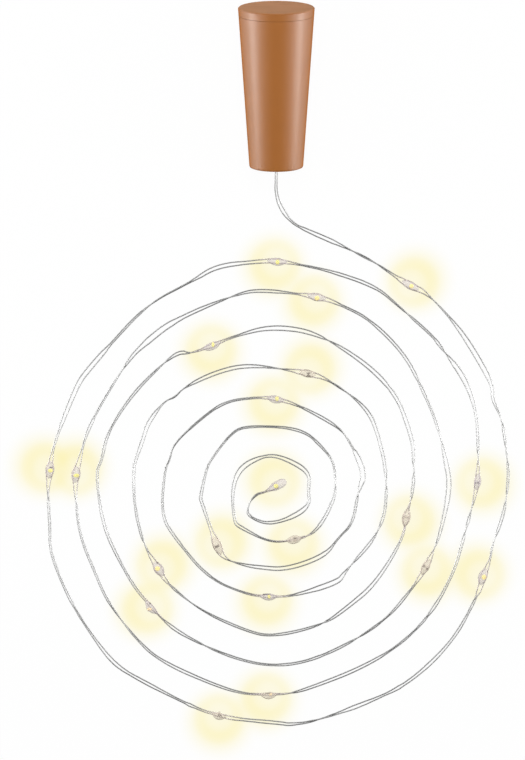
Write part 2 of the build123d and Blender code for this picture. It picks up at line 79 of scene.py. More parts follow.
# The turns of the coil, read from the photograph, each from the upper left clockwise round to there
TURNS_PX = [
    [
        (411, 286), (428, 295), (455, 324), (474, 352), (491, 383), (493, 400), (502, 421), (507, 458),
        (508, 478), (504, 511), (493, 543), (490, 559), (483, 577), (476, 597), (451, 641), (409, 681),
        (367, 702), (317, 720), (290, 724), (280, 723), (238, 719), (220, 715), (194, 707), (139, 679),
        (116, 664), (98, 643), (72, 603), (52, 555), (50, 526), (48, 492), (50, 470), (55, 442), (75, 391),
        (86, 373), (111, 344), (148, 306), (191, 282), (218, 267), (256, 262), (277, 261),
    ],
    [
        (301, 265), (332, 272), (374, 287), (397, 305), (411, 317), (432, 336), (443, 350), (464, 379),
        (476, 414), (478, 458), (477, 482), (473, 503), (463, 539), (453, 572), (430, 613), (398, 645),
        (359, 668), (317, 685), (291, 693), (269, 694), (243, 693), (211, 683), (165, 662), (139, 641),
        (110, 604), (96, 574), (81, 536), (76, 499), (76, 474), (80, 459), (91, 423), (125, 366),
        (145, 344), (177, 320), (234, 296), (265, 291),
    ],
    [
        (317, 297), (342, 306), (370, 321), (403, 354), (422, 389), (437, 425), (445, 458), (449, 488),
        (440, 532), (433, 551), (425, 568), (411, 589), (379, 624), (321, 656), (274, 665), (230, 656),
        (188, 637), (166, 622), (151, 606), (135, 587), (119, 559), (104, 524), (97, 476), (102, 459),
        (109, 432), (132, 396), (161, 366), (179, 353), (191, 353), (213, 345), (234, 337), (274, 328),
    ],
    [
        (326, 339), (388, 385), (411, 437), (413, 458), (414, 474), (411, 499), (406, 516), (401, 540),
        (375, 582), (348, 606), (321, 624), (274, 635), (244, 629), (202, 610), (170, 585), (159, 569),
        (144, 543), (135, 505), (134, 472), (136, 459), (143, 439), (147, 426), (156, 412), (166, 401),
        (175, 397), (186, 387), (216, 373), (248, 366), (288, 370),
    ],
    [
        (309, 374), (329, 381), (365, 408), (379, 440), (386, 480), (380, 528), (346, 570), (335, 582),
        (294, 595), (269, 596), (246, 593), (209, 576), (177, 539), (163, 513), (165, 472), (170, 459),
        (175, 444), (199, 421), (225, 403), (255, 398), (276, 399),
    ],
    [
        (301, 407), (334, 425), (348, 440), (363, 471), (358, 492), (352, 522), (338, 538), (323, 555),
        (287, 568), (260, 567), (246, 565), (227, 559), (217, 545), (203, 505), (201, 496), (206, 472),
        (212, 459), (231, 435), (250, 427), (299, 430),
    ],
    [
        (323, 449), (333, 463), (335, 481), (333, 500), (316, 530), (295, 539), (270, 541), (243, 528),
        (235, 520), (233, 491), (241, 469), (263, 457), (282, 458), (307, 472), (308, 489), (306, 508),
        (273, 523), (250, 516), (249, 505), (256, 495), (265, 492), (272, 488), (278, 485),
    ],
]
LINE_RESOLUTION = 16
PUSH_SHARE = 1 / 4  # of a control point's distance from the middle of its neighbours

# The distance between the two wires along the pair, read from enlargements of the photograph, and 0 where
# they cross, as a pixel and the distance in pixels, one list for each turn. Beside the 13th and the 18th
# light they are estimates.
GAPS_PX = [
    [
        (276, 172, 2.0), (278, 185, 2.3), (282, 196, 3.2), (286, 207, 3.5), (291, 214, 1.8),
        (298, 221, 1.5), (306, 227, 2.8), (318, 235, 3.6), (330, 241, 3.7), (340, 246, 2.2),
        (347, 249, 0.9), (353, 252, 0), (360, 255, 1.2), (367, 258, 1.4), (374, 263, 0), (383, 270, 1.2),
        (390, 273, 1.6), (396, 277, 2.4), (402, 281, 4.6), (411, 286, 7.0), (420, 290.5, 4.6),
        (426, 294, 2.6), (430, 297, 1.0), (433, 301, 0), (448, 316, 1.0), (452, 322, 2.2), (460, 333, 3.5),
        (467, 343, 4.3), (476, 358, 4.5), (485, 375, 4.3), (488, 385, 2.8), (492, 400, 2.6),
        (496, 408, 1.6), (501, 418, 0), (503, 430, 2.4), (504, 440, 2.0), (505, 450, 0), (506, 455, 1.0),
        (507, 459, 0), (508, 465, 1.8), (508, 478, 2.0), (508, 488, 1.8), (507, 497, 0), (504, 508, 2.2),
        (502, 517, 2.6), (500, 530, 2.4), (495, 541, 0), (491, 546, 1.0), (491, 560, 1.2), (489, 566, 3.0),
        (484, 577, 6.5), (481, 586, 4.2), (478, 591, 3.8), (475, 597, 1.2), (473, 603, 2.0),
        (467, 614, 1.6), (462, 622, 2.2), (455, 632, 2.4), (450, 640, 2.2), (443, 650, 2.6),
        (436, 657, 3.0), (428, 664, 3.2), (420, 672, 2.8), (410, 679, 2.6), (402, 684, 2.4),
        (398, 687, 3.2), (393, 690, 2.6), (385, 695, 1.8), (375, 701, 2.4), (365, 704, 3.2),
        (355, 708, 3.6), (350, 710, 3.2), (342, 713, 2.0), (335, 716, 1.4), (323, 719.5, 0),
        (310, 722, 1.4), (300, 723, 1.8), (292, 724, 2.6), (280, 723.5, 2.8), (270, 722.5, 3.0),
        (262, 722, 3.0), (252, 720.5, 2.5), (243, 719, 2.4), (236, 718.5, 3.0), (229, 716, 3.2),
        (218, 713.5, 3.0), (211, 711, 1.8), (196, 707.5, 1.8), (190, 704, 2.8), (186, 701.5, 1.6),
        (175, 697, 1.6), (165, 692, 2.2), (150, 684, 3.0), (140, 679, 2.8), (130, 673, 2.4),
        (122, 668, 3.0), (117, 664, 3.4), (110, 656, 3.3), (105, 650, 2.8), (100, 646, 2.6), (97, 642, 2.0),
        (90, 629, 1.6), (85, 622, 1.2), (80, 615, 1.5), (76, 608, 1.2), (71.5, 600, 2.2), (66, 587, 1.8),
        (61, 578, 1.6), (55, 568, 1.8), (50.5, 548, 1.8), (49.5, 515, 2.0), (50, 503, 2.0), (49, 496, 1.0),
        (47.5, 490, 1.6), (48.5, 485, 3.0), (50, 470, 7.0), (53, 461, 3.4), (54.7, 452, 1.8),
        (55.5, 446, 1.2), (57, 440, 2.0), (60, 430, 1.6), (62, 425, 2.6), (65, 418, 3.2), (68, 410, 3.6),
        (72, 400, 3.8), (82, 380, 4.2), (92, 368, 4.4), (100, 360, 4.2), (106, 354, 3.6), (110, 349, 2.4),
        (113, 345, 1.6), (128, 326, 1.8), (134, 320, 1.6), (140, 313, 1.6), (148, 305, 0), (155, 301, 0.6),
        (175, 290, 0.9), (185, 285, 0.9), (190, 282, 1.2), (196, 278, 2.2), (202, 274.5, 3.2),
        (210, 271, 3.6), (220, 267.5, 3.8), (232, 265, 3.8), (245, 263, 3.0), (262, 261, 3.4),
    ],
    [
        (277, 261, 4.6), (288, 262, 2.8), (296, 264, 1.6), (302, 266, 1.0), (310, 266, 1.4),
        (320, 267, 1.4), (330, 269.5, 2.0), (340, 273, 2.8), (350, 277, 2.8), (360, 282, 3.0),
        (370, 286, 2.8), (380, 290, 2.0), (390, 297, 1.6), (404, 309, 1.0), (408, 314, 0), (414, 319, 1.6),
        (420, 323, 1.8), (435, 337.5, 1.6), (439, 343, 2.6), (443, 349, 1.8), (446, 353, 0),
        (450, 360, 2.4), (454, 367, 4.2), (458, 375, 4.6), (468, 389, 3.8), (473, 400, 3.2),
        (475, 410, 2.2), (478, 445, 2.2), (478, 458, 0), (478, 466, 2.4), (477, 482, 5.0), (476, 494, 2.6),
        (475, 500, 1.8), (472, 510, 0), (469, 520, 2.4), (465, 530, 0), (463, 540, 2.4), (460, 552, 2.0),
        (448, 582, 1.8), (440, 598, 2.2), (433, 608, 2.8), (431, 613, 2.0), (428, 616, 1.2),
        (422, 620, 1.8), (412, 629, 1.2), (405, 636, 1.6), (400, 642, 1.6), (397, 646, 1.4),
        (390, 649, 1.2), (385, 652, 1.6), (378, 656, 2.4), (360, 668, 2.8), (350, 673, 3.0),
        (330, 682, 2.8), (308, 690, 2.4), (298, 693, 1.6), (290, 694, 0), (283, 693, 0.6), (277, 692, 1.4),
        (269, 692, 2.0), (260, 692.3, 1.4), (250, 692.6, 1.2), (240, 691.5, 1.6), (220, 686.5, 2.2),
        (200, 678, 2.4), (190, 673, 2.8), (180, 669, 2.8), (170, 664.5, 2.6), (162, 660, 2.0),
        (155, 654.5, 1.8), (148, 648.5, 2.0), (141, 643, 1.6), (138, 638, 1.2), (133, 632, 1.2),
        (124, 622, 0), (115, 612, 1.0), (110, 607, 1.2), (108, 601, 1.8), (92, 570, 1.8), (83, 545, 1.8),
        (78, 510, 1.6), (77, 500, 0.8), (76.5, 495, 2.2), (76, 487, 3.4), (77, 475, 6.5), (77.5, 462, 4.0),
        (79, 455, 2.4), (81, 447, 1.0), (84, 440, 1.6), (88, 430, 2.4), (91, 423, 2.4), (95, 415, 1.2),
        (110, 389, 1.3), (122, 370, 0), (128, 362, 2.0), (133, 357, 2.8), (139, 351.5, 3.2),
        (143, 347.5, 4.0), (150, 340, 5.5), (160, 332, 5.5), (170, 323.5, 5.2), (178, 319.5, 3.8),
        (183, 318, 3.2), (200, 308.5, 3.0), (210, 304, 2.4), (218, 301.5, 1.6), (232, 297, 0),
        (240, 294, 1.6), (250, 291.5, 2.4), (262, 291, 2.8), (275, 291.5, 2.8), (285, 293, 1.8),
        (292, 295, 1.0), (298, 295.5, 1.4), (303, 295.5, 2.8), (308, 296, 4.0),
    ],
    [
        (317, 298, 7.0), (327, 299.5, 3.6), (333, 302, 2.8), (340, 305, 1.6), (364, 316.5, 1.8),
        (370, 320.5, 1.6), (380, 331, 2.6), (390, 341.5, 2.6), (400, 352, 2.4), (405, 360, 2.6),
        (415, 374, 2.6), (420, 380, 1.4), (423, 388, 2.2), (426, 393, 2.4), (429, 399, 1.6),
        (433, 408, 1.6), (438, 424, 2.2), (441, 440, 0), (443, 447, 2.2), (445, 462, 4.0), (447, 488, 4.2),
        (446.5, 498, 4.2), (444, 512, 3.2), (441, 521, 2.8), (439, 530, 2.4), (436.5, 537, 1.8),
        (433, 549, 0), (431, 554, 2.6), (429, 560, 4.5), (426, 566, 6.0), (420, 577, 3.2), (416, 584, 1.6),
        (410, 590, 1.4), (405, 596, 2.0), (400, 602, 2.2), (395, 608, 1.8), (385, 620, 0.8),
        (376, 628, 1.6), (365, 635, 1.2), (358, 639, 0), (350, 642.5, 1.6), (340, 647, 2.0),
        (332, 651, 2.0), (325, 654, 1.6), (315, 656.5, 2.2), (305, 659.5, 1.8), (285, 663, 2.0),
        (272, 664.5, 1.4), (250, 661, 1.6), (230, 656, 1.8), (215, 651.5, 1.2), (205, 647, 0),
        (198, 643, 1.4), (190, 638.5, 1.8), (180, 632, 2.6), (173, 626.5, 2.8), (168, 623, 2.0),
        (163, 619, 1.0), (158, 615, 1.0), (150, 607, 3.0), (146, 599, 1.8), (136, 588, 2.0),
        (125, 570, 1.6), (115, 554, 2.2), (107, 537, 2.4), (102, 516, 2.6), (99, 498, 1.6),
        (97.5, 478, 1.8), (100.5, 458, 1.8), (104, 450, 2.2), (109, 434, 2.0), (110.5, 430, 1.2),
        (120, 412, 1.8), (130, 398, 2.0), (135, 392, 2.2), (148, 380, 1.8), (155, 372, 1.4), (164, 363, 0),
        (170, 358, 1.8), (177, 354, 3.0), (183, 352.8, 3.0), (188, 352.8, 1.6), (192, 353, 0),
        (199, 348.5, 1.4), (205, 346.5, 2.4), (212, 343.5, 3.6), (220, 340.5, 2.2), (225, 338.5, 1.6),
        (238, 337, 1.4), (243, 335, 2.0), (250, 332, 2.8), (258, 330.5, 3.4), (268, 329.5, 4.0),
        (278, 329, 4.4), (288, 330, 4.4),
    ],
    [
        (298, 331, 4.0), (308, 333, 3.8), (316, 335.5, 3.0), (322, 337.5, 2.0), (328, 340, 0),
        (335, 343.5, 1.2), (342, 347.5, 2.4), (350, 352.5, 3.0), (364, 363, 3.6), (380, 377, 3.8),
        (385, 382, 3.6), (389, 386.5, 2.6), (392, 391, 3.2), (400, 406, 3.0), (407, 424, 3.6),
        (411.5, 440, 3.2), (412.5, 450, 2.8), (413.5, 460, 2.0), (413.5, 470, 0), (413, 480, 2.4),
        (412, 488, 2.2), (411.5, 497, 1.6), (411, 500, 0), (408.5, 508, 1.2), (407, 512, 4.0),
        (406, 517, 6.0), (404.5, 522, 4.0), (403, 526, 1.2), (401, 540, 1.8), (400, 543, 1.4),
        (396, 549, 2.2), (388, 564, 2.6), (379, 577, 3.0), (367, 589, 3.4), (360, 595, 3.6),
        (352, 602, 3.2), (338, 612, 2.8), (332, 616, 2.2), (326, 620, 1.2), (323, 622, 0), (318, 624, 1.2),
        (310, 626, 1.8), (285, 633, 2.2), (272, 635, 1.6), (247, 631, 1.8), (230, 625.5, 2.0),
        (215, 618, 1.6), (200, 610, 0.9), (187, 601.5, 0), (180, 595, 1.0), (175, 589.5, 1.8),
        (170, 585.5, 0.8), (166, 580, 2.6), (162, 575.5, 3.8), (158, 568, 7.5), (152, 558, 3.2),
        (149, 551, 1.2), (146, 545, 0), (142, 538, 1.8), (137, 520, 2.0), (134, 503, 1.6),
        (134.5, 475, 2.2), (136, 459, 2.2), (138, 450, 2.8), (144, 437, 3.0), (148, 430, 3.4),
        (151, 417, 3.4), (156, 411, 2.4), (160, 406.5, 0.8), (166, 401.5, 0), (176, 396.5, 0.8),
        (185, 388.5, 0), (190, 385.5, 1.4), (196, 381.5, 2.8), (205, 377.5, 3.4), (215, 374, 3.6),
        (225, 371, 3.6), (245, 366.5, 3.4), (255, 366.5, 2.8), (265, 367.5, 1.6), (280, 369.5, 0),
        (287, 370.5, 1.4), (293, 371, 2.4), (300, 372.5, 4.4),
    ],
    [
        (308, 374.5, 6.5), (316, 376.5, 4.5), (322, 378.5, 2.8), (328, 381, 1.6), (332, 383, 0.8),
        (338, 386.5, 1.2), (350, 395, 0), (356, 400, 1.6), (362, 405, 2.6), (368, 411.5, 3.0),
        (373, 418, 3.2), (377, 432, 2.8), (383.5, 458, 2.6), (385, 468, 2.6), (387, 483, 0),
        (387, 492, 2.2), (387, 500, 1.8), (384, 516, 2.2), (382, 523, 2.2), (378, 530, 0), (373, 537, 1.8),
        (368, 544, 2.6), (364, 549, 2.6), (359, 555, 2.2), (351, 567, 0), (347, 571, 1.4), (341, 577, 3.4),
        (335, 581, 4.6), (328, 584, 4.8), (320, 587, 4.6), (312, 589.5, 3.6), (305, 592, 2.6),
        (299, 593.5, 2.4), (294, 595.5, 1.4), (285, 595.5, 0.8), (279, 595, 0.8), (275, 594.5, 1.6),
        (269, 594.5, 3.2), (262, 594, 1.6), (255, 593.7, 1.2), (247, 593.7, 1.4), (238, 590.5, 0.9),
        (230, 587.5, 0.8), (214, 580.5, 1.2), (207, 576, 1.8), (195, 562.5, 1.8), (184, 549, 1.6),
        (179, 542, 2.2), (171, 529.5, 2.2), (165, 516.5, 2.2), (163.5, 505, 1.6), (162.5, 488, 1.8),
        (165.5, 470, 1.4), (168, 462, 1.2), (172.5, 450, 0.8), (187, 431.5, 0.8), (193, 426, 1.4),
        (213, 409, 1.4), (220, 404.5, 2.0), (227, 401.5, 1.6), (245, 398.8, 1.4), (259, 398.5, 1.4),
        (265, 397, 2.4), (277, 398, 3.6),
    ],
    [
        (286, 398.5, 2.8), (292, 401, 2.2), (301, 408, 1.2), (308, 409, 2.0), (322, 416.5, 2.6),
        (330, 422.5, 2.4), (336, 428.5, 1.4), (345, 438, 0), (350, 443.5, 1.0), (354, 448.5, 1.2),
        (356, 452, 3.2), (359, 459, 4.6), (360.5, 466, 4.8), (361, 482, 4.6), (359, 488, 2.8),
        (357, 492, 0), (356, 498, 2.0), (354, 515, 2.0), (347.5, 528, 1.4), (343, 533, 0.8),
        (337, 541, 1.0), (334, 546, 1.6), (331, 550, 2.6), (325, 555, 3.8), (318, 559.5, 4.0),
        (300, 566, 4.0), (280, 568, 3.6), (258, 567.5, 3.2), (250, 566.5, 2.6), (244, 565.5, 1.8),
        (234, 562.5, 0), (228, 560, 1.0), (225, 558.5, 2.2), (221.5, 554, 4.2), (220, 551, 6.6),
        (217.5, 546, 8.2), (215, 541, 7.0), (213, 536, 4.4), (210, 531, 2.4), (205, 521, 2.2),
        (202, 506, 2.6), (202.5, 488, 2.2), (205.5, 473, 1.6), (210.5, 460, 0.9), (223, 443.5, 1.2),
        (233, 435, 1.4), (252, 428, 1.6), (270, 429, 1.2), (288, 430.5, 1.8),
    ],
    [
        (296, 430.8, 2.2), (306, 436.5, 1.8), (310, 440, 1.4), (316, 444.5, 2.0), (322, 449, 1.6),
        (330, 460, 0.9), (334.5, 474, 1.6), (335, 483, 0), (334.5, 490, 1.8), (331, 504, 2.4),
        (324, 517, 2.6), (320, 523, 2.8), (317, 528, 2.2), (313, 531.5, 1.8), (306, 535.5, 0),
        (303, 537, 1.4), (295, 538.7, 2.0), (286, 539.7, 1.0), (272, 541.2, 1.2), (262, 538, 1.2),
        (256, 535.5, 1.6), (250, 532.5, 2.2), (243, 529, 2.8), (238, 524, 2.8), (235, 519, 2.2),
        (233, 506, 1.8), (233, 490, 2.6), (234.5, 483, 3.2), (237, 476, 4.0), (241, 470, 4.4),
        (247, 465.5, 4.4), (254, 461.5, 3.8), (260, 458.5, 3.0), (264, 457.5, 2.2), (278, 458, 3.0),
        (286, 458.5, 3.6), (293, 461, 3.8), (300, 465.5, 4.0), (305, 469, 3.4), (308.5, 480, 2.6),
        (309, 490, 2.2), (308, 504, 2.4), (305, 509, 3.8), (300, 512.5, 4.2), (293, 516, 4.0),
        (285, 519.5, 2.8), (278, 521.5, 2.4), (272, 522.5, 2.6), (265, 521.5, 2.0), (253, 517, 1.4),
        (251, 513.5, 2.0), (250.7, 503, 0), (257, 496, 1.4), (262, 494, 1.2), (265.5, 492.3, 0.8),
        (268, 490.5, 2.2), (272, 488, 4.5), (276, 486.3, 5.5), (283, 483, 4.5),
    ],
]

# The lights in the photograph, in their order along the wires: the place of each, half its length, how far
# its resin reaches over the outer and the inner side of the line, and the resin's tint. Then the glowing spot
# of its chip, as its colour, its place off the light's and its width and height, and each dark contact that
# shows, as its place off the light's, its length and width, and its turn in degrees.
LIGHTS = [
    ((411, 286), 9.5, 4.2, 4.2, "clear", ("yellow", 0.5, 0, 4.5, 4.5), []),
    ((484, 577), 9.0, 3.8, 5.2, "clear", ("yellow", 0, 0, 4.4, 5.2), []),
    ((219, 714), 7.5, 5.0, 1.8, "warm", None, [(1.0, 1.2, 4.0, 1.2, 20)]),
    ((50, 470), 9.0, 4.6, 4.6, "clear", ("lemon", 0.5, 0.5, 5.0, 4.0), [(1.0, -2.5, 3.0, 1.4, 0)]),
    ((277, 261.5), 10.0, 3.2, 4.8, "clear", ("lemon", 0.5, 0.5, 4.0, 5.0), []),
    ((477, 482), 8.5, 4.2, 2.8, "clear", None, [(-1.5, 1.0, 1.2, 1.9, 0), (1.0, 1.0, 1.2, 1.9, 0)]),
    ((268.7, 693), 8.7, 5.2, 1.8, "warm", ("amber", 2.0, 1.2, 3.0, 1.8), [(-0.7, 0.3, 5.0, 1.0, 0)]),
    ((77, 475), 8.5, 4.7, 4.7, "clear", ("lemon", -0.5, 0.5, 6.0, 4.0), []),
    ((317, 298), 9.5, 4.0, 4.2, "clear", ("yellow", 0, 0, 5.0, 5.0), []),
    ((426, 567), 9.0, 4.0, 4.0, "warm", None, [(-2.0, -1.0, 1.4, 1.4, 0), (1.0, 2.0, 1.4, 1.4, 0)]),
    ((150, 607), 9.0, 5.2, 2.2, "clear", ("amber", -0.5, 2.0, 5.0, 3.0), [(0, -3.5, 1.6, 1.6, 0)]),
    ((212, 344.5), 10.0, 3.2, 4.8, "clear", ("lemon", 1.0, 0, 3.0, 5.0), []),
    ((406.5, 517), 9.5, 4.6, 4.2, "warm", None, []),
    ((158, 568), 8.5, 5.0, 5.0, "clear", ("yellow", -0.5, 0.5, 5.0, 5.0), [(-0.5, -5.0, 1.8, 1.2, 0)]),
    ((308.5, 374.5), 8.5, 4.0, 4.0, "warm", None,
     [(0, -1.4, 3.8, 1.1, 0), (0, 1.4, 3.8, 1.1, 0), (0, 0, 1.0, 3.0, 0)]),
    ((269, 596), 9.0, 4.4, 2.8, "clear", ("lemon", 0, 0.4, 3.0, 4.0), [(-2.5, -1.7, 7.0, 1.0, 0)]),
    ((277, 398.5), 9.0, 3.4, 4.6, "clear", ("lemon", 0, 0, 3.5, 5.0), []),
    ((217, 546), 10.0, 4.5, 4.5, "warm", None, [(0, 0.5, 4.0, 2.0, -32)]),
    ((295, 539.5), 8.0, 4.4, 4.2, "warm", None, [(0, -1.2, 3.0, 1.5, 0)]),
    ((276, 486), 10.5, 4.5, 4.5, "clear", ("lemon", 0, 0, 4.5, 4.5), []),
]

# The resin drops: their reach over and under the wires, the swell of their tips, and the powers of their
# outline along the wires, first for a drop and then for the closed half of the last one. Then the order of a
# light's materials.
DROP_BELOW = 0.42 * MM
DROP_ABOVE = 1.15 * MM
DROP_TIP = 0.16
DROP_POWERS = (2.1, 0.85)
END_POWERS = (4, 0.5)
UNDER_SWELL = 1.4
DROP_STATIONS = 17
DROP_SIDES = 20
RESIN_SLOT, CHIP_SLOT, DOME_SLOT, CONTACT_SLOT = range(4)

# The chip, its phosphor dome and its contacts
CHIP_L = 0.85 * MM
CHIP_W = 1.6 * MM
CHIP_T = 0.3 * MM
CHIP_LIFT = 0.22 * MM
CHIP_BEVEL = 0.05 * MM
DOME_FOOT = 0.45  # of the chip's thickness, over its middle
DOME_H = 0.34 * MM
DOME_RINGS = 6
DOME_SIDES = 20
CONTACT_T = 0.06 * MM
CONTACT_LIFT = 0.28 * MM

# The stopper's plastic: its brown on the side and on the end face, how squarely a face looks along the axis
# where the one look passes into the other, and the coat, which fades where the side turns away from the eye
CORK_BROWN = (0.36, 0.116, 0.011)
END_BROWN = (0.485, 0.252, 0.138)
CORK_ROUGHNESS = (0.34, 0.8)
END_FACING = (0.8, 1)
COAT_ROUGHNESS = 0.36
COAT_IOR = 2.0
LIMB_FADE = (0.45, 0.8)
LIMB_COAT = 0.15
MOTTLE_NOISE = 160
STREAK_NOISE = 700
STREAK_STRETCH = (0.1, 1, 1)
GRAIN_NOISE = 2600
GRAIN_DEPTH = 0.05 * MM

# The lights' materials
# Each resin's body colour, then its darker rim colour, which is painted shade of the drop's refraction at its
# edge
RESIN = {
    "clear": ((0.75, 0.69, 0.72), (0.46, 0.39, 0.41)),
    "warm": ((0.80, 0.71, 0.61), (0.50, 0.40, 0.33)),
}
RESIN_IOR = 1.45
RESIN_ALPHA = (0.34, 0.92)  # seen squarely, and at its rim
RESIN_RIM = 0.35
CLOUD_NOISE = 900
SKIN_NOISE = 700
SKIN_DEPTH = 0.1 * MM
PHOSPHOR = {"yellow": (0.95, 0.77, 0.17), "lemon": (0.84, 0.78, 0.10), "amber": (0.93, 0.72, 0.38)}
PHOSPHOR_NOISE = 1500
PHOSPHOR_GLOW = 0.55
CONTACT_BROWN = (0.04, 0.02, 0.01)

# The wires' metal, its tones, which carry a painted sheen, and its colour beside a light, which is painted
# glow
WIRE_SILVER = (0.83, 0.83, 0.806)
# Painted glow: the paler, warmer colour of a wire near a light
WIRE_PAINTED_GLOW = (0.70, 0.63, 0.59)
WIRE_TONES_AND_SHEEN = (0.388, 1.0)  # painted sheen of the side lamps: the darkest run lies along X, and the palest along Y
PAIR_TONE = 0.12  # how much of that range lies between the two wires
PAINTED_SHEEN_POWER = 4  # how closely a run has to follow Y to be pale with the painted sheen
WIRE_NOISE = 60
WAVE_NOISE = 300
WAVE_DEPTH = 0.02 * MM

# The halo round a light on the surface, a painted pool of its glow: its amount at shares of its radius, how
# far it leans and how much stronger it is to its brighter side, and the bearing of that side for each light
# in degrees
PAINTED_GLOW_YELLOW = (0.955, 0.80, 0.0)
HALO_R = 13.3 * MM
HALO_SHARES = [
    (0.0, 0.24), (0.15, 0.25), (0.27, 0.28), (0.39, 0.33), (0.5, 0.29),
    (0.63, 0.16), (0.76, 0.07), (0.88, 0.02), (1.0, 0.0),
]
HALO_SHIFT = 0.15
HALO_SIDE = 0.44
HALO_BEARINGS = [
    40, 150, 270, 150, 240, -20, 240, 90, 235, 290,
    200, 265, 320, 45, 60, 250, 250, 40, 260, 120,
]

# The studio: softboxes with their lowest and highest point and radiance, a fill, the surface and the walls
BOX_AWAY = 0.5
BOX_LONG = 0.3
BOXES = ((0.0, 0.25, 5.4), (0.25, 0.95, 2.7))
FILL_AWAY = 0.55
FILL_HIGH = 1.2
FILL_SIZE = 0.8
FILL_RADIANCE = 5.9
FLOOR_HALF = 3.0
FLOOR_WHITE = 0.97
FLOOR_GREY = 0.85
FLOOR_ROUGHNESS = 0.8
WALL_HIGH = (0.3, 0.6)
WALL_GREY = 0.1
OVERHEAD_GREY = 0.06

switch = next(joint for joint in frame["joints"] if joint["name"] == "switch_turn")
axis = Vector(switch["axis"])
outlet = Vector(switch["pos_m"]) - axis * STOPPER_LENGTH
UP = Vector((0, 0, 1))

# The camera's own directions, and its place, from which the outlet is seen at its pixel
camera_back = Vector((0, sin(CAMERA_LEAN), cos(CAMERA_LEAN)))
camera_up = Vector((0, cos(CAMERA_LEAN), -sin(CAMERA_LEAN)))
camera_away = PHOTO_PX[1] * PIXEL * LENS_MM / SENSOR_MM


def off_centre(x_px, y_px):
    """How far a pixel is from the photograph's middle, in the plane of the outlet."""
    right = Vector(((x_px - PHOTO_PX[0] / 2) * PIXEL, 0, 0))
    return right + camera_up * ((PHOTO_PX[1] / 2 - y_px) * PIXEL)


eye = outlet + camera_back * camera_away - off_centre(*OUTLET_PX)


def on_surface(x_px, y_px, height=WIRE_LEVEL):
    """The place that the photograph shows at a pixel, at a height over the surface."""
    ray = off_centre(x_px, y_px) - camera_back * camera_away
    return eye + ray * ((height - eye.z) / ray.z)


def smooth(share):
    """A share that leaves 0 and reaches 1 softly."""
    share = min(max(share, 0), 1)
    return share * share * (3 - 2 * share)


# Shader nodes


def feed(links, slot, source):
    """Links a node's output to a socket, or sets the socket to a plain value."""
    if isinstance(source, bpy.types.NodeSocket):
        links.new(source, slot)
    else:
        slot.default_value = source


def maths(nodes, links, operation, *sources, clamp=False):
    """The output of a maths node over plain values and other nodes' outputs."""
    node = nodes.new("ShaderNodeMath")
    node.operation = operation
    node.use_clamp = clamp
    for slot, source in zip(node.inputs, sources):
        feed(links, slot, source)
    return node.outputs["Value"]


def vector_maths(nodes, links, operation, *sources):
    """A vector maths node over plain vectors and other nodes' outputs."""
    node = nodes.new("ShaderNodeVectorMath")
    node.operation = operation
    for slot, source in zip(node.inputs, sources):
        feed(links, slot, source)
    return node


def ranged(nodes, links, source, start, end, soft=False):
    """An output carried over from one range to another, and held at its ends."""
    node = nodes.new("ShaderNodeMapRange")
    if soft:
        node.interpolation_type = "SMOOTHSTEP"
    for name, number in zip(("From Min", "From Max", "To Min", "To Max"), (*start, *end)):
        node.inputs[name].default_value = number
    links.new(source, node.inputs["Value"])
    return node.outputs["Result"]


def mixed(nodes, links, factor, first, second, blend="MIX"):
    """The output of a mix between two colours, each a plain one or another node's output."""
    node = nodes.new("ShaderNodeMix")
    node.data_type = "RGBA"
    node.blend_type = blend
    for name, source in (("Factor", factor), ("A", first), ("B", second)):
        feed(links, node.inputs[name], source)
    return node.outputs["Result"]


def noise_field(nodes, links, scale, detail=3, stretch=(1, 1, 1)):
    """The output of a noise texture over the object's own coordinates."""
    place = nodes.new("ShaderNodeTexCoord")
    mapping = nodes.new("ShaderNodeMapping")
    mapping.inputs["Scale"].default_value = stretch
    field = nodes.new("ShaderNodeTexNoise")
    field.inputs["Scale"].default_value = scale
    field.inputs["Detail"].default_value = detail
    links.new(place.outputs["Object"], mapping.inputs["Vector"])
    links.new(mapping.outputs["Vector"], field.inputs["Vector"])
    return field.outputs["Fac"]


def attribute(nodes, name):
    """The output that reads a value kept on a mesh's points."""
    node = nodes.new("ShaderNodeAttribute")
    node.attribute_name = name
    return node.outputs["Fac"]


def grey(level):
    """A grey of this level."""
    return (level, level, level, 1)


def tone(colour, share):
    """A darker or lighter tone of a colour, with full alpha."""
    return (*[min(channel * share, 1) for channel in colour], 1)


def varied(nodes, links, field, colour, spread):
    """The output that moves between a darker and a lighter tone of a colour by a field."""
    return mixed(nodes, links, field, tone(colour, 1 - spread), tone(colour, 1 + spread))


def add_bump(nodes, links, shader, field, strength, depth):
    """Bumps a shader's surface by a field."""
    bump = nodes.new("ShaderNodeBump")
    bump.inputs["Strength"].default_value = strength
    bump.inputs["Distance"].default_value = depth
    links.new(field, bump.inputs["Height"])
    links.new(bump.outputs["Normal"], shader.inputs["Normal"])


# Materials


def new_material(name):
    """A node material, its nodes and links, and its Principled shader."""
    material = bpy.data.materials.new(name)
    material.use_nodes = True
    nodes, links = material.node_tree.nodes, material.node_tree.links
    return material, nodes, links, nodes["Principled BSDF"]


def plain_material(name, colour, roughness, metallic=0.0, spread=0.06, grain=900, stretch=(1, 1, 1)):
    """A material whose tone and surface vary a little with a fine grain."""
    material, nodes, links, shader = new_material(name)
    shader.inputs["Roughness"].default_value = roughness
    shader.inputs["Metallic"].default_value = metallic
    field = noise_field(nodes, links, grain, stretch=stretch)
    links.new(varied(nodes, links, field, colour, spread), shader.inputs["Base Color"])
    add_bump(nodes, links, shader, field, strength=0.1, depth=GRAIN_DEPTH)
    return material


